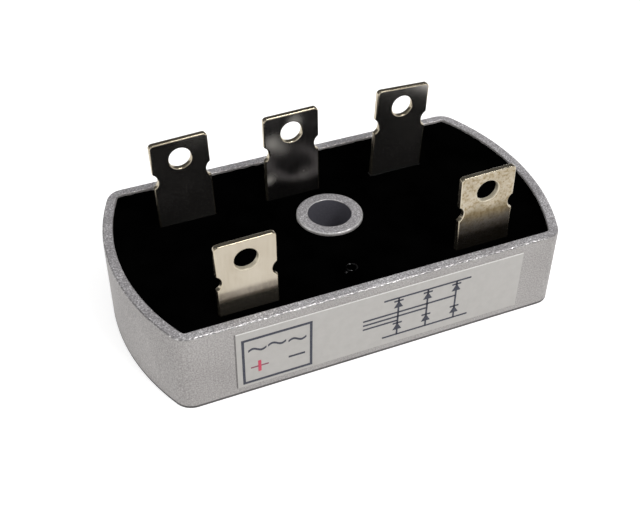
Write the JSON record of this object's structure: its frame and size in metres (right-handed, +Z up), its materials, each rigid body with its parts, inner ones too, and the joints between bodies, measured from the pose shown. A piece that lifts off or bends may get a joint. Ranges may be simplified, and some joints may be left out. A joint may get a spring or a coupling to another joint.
{
  "type": "three-phase bridge rectifier",
  "caption": "Potted three-phase bridge rectifier in an aluminium tray with curved ends, flat tab terminals standing out of black epoxy and a tube boss for one mounting screw.",
  "frame": {"origin": "on the underside, at the axis of the mounting hole", "axes": "+Z up along the mounting hole, +X along the tray, -Y towards the labelled wall and the two DC tabs"},
  "size_m": [0.072, 0.0385, 0.0293],
  "materials": {
    "case_aluminium": "bead-blasted die casting, satin",
    "epoxy": "poured and cured, smooth",
    "label_film": "matt printed film",
    "nickel_plate": "nickel-plated sheet, soft mirror",
    "copper_sheet": "bare rolled copper",
    "ceramic_sheet": "fired alumina, matt",
    "silicon_chip": "sawn silicon with a glassy edge",
    "solder_metal": "reflowed, bright"
  },
  "bodies": {
    "root": {"case": "case_aluminium", "potting": "epoxy", "label": "label_film", "insulating_sheet": "ceramic_sheet", "plate_plus": "copper_sheet", "plate_minus": "copper_sheet", "strap_ac_1": "copper_sheet", "strap_ac_2": "copper_sheet", "strap_ac_3": "copper_sheet", "terminal_ac_1": "nickel_plate", "terminal_ac_2": "nickel_plate", "terminal_ac_3": "nickel_plate", "terminal_plus": "nickel_plate", "terminal_minus": "nickel_plate", "die_plus_1": "silicon_chip", "die_plus_2": "silicon_chip", "die_plus_3": "silicon_chip", "die_minus_1": "silicon_chip", "die_minus_2": "silicon_chip", "die_minus_3": "silicon_chip", "solder_under_dies": "solder_metal", "solder_over_dies": "solder_metal", "solder_under_feet": "solder_metal"}
  },
  "joints": []
}
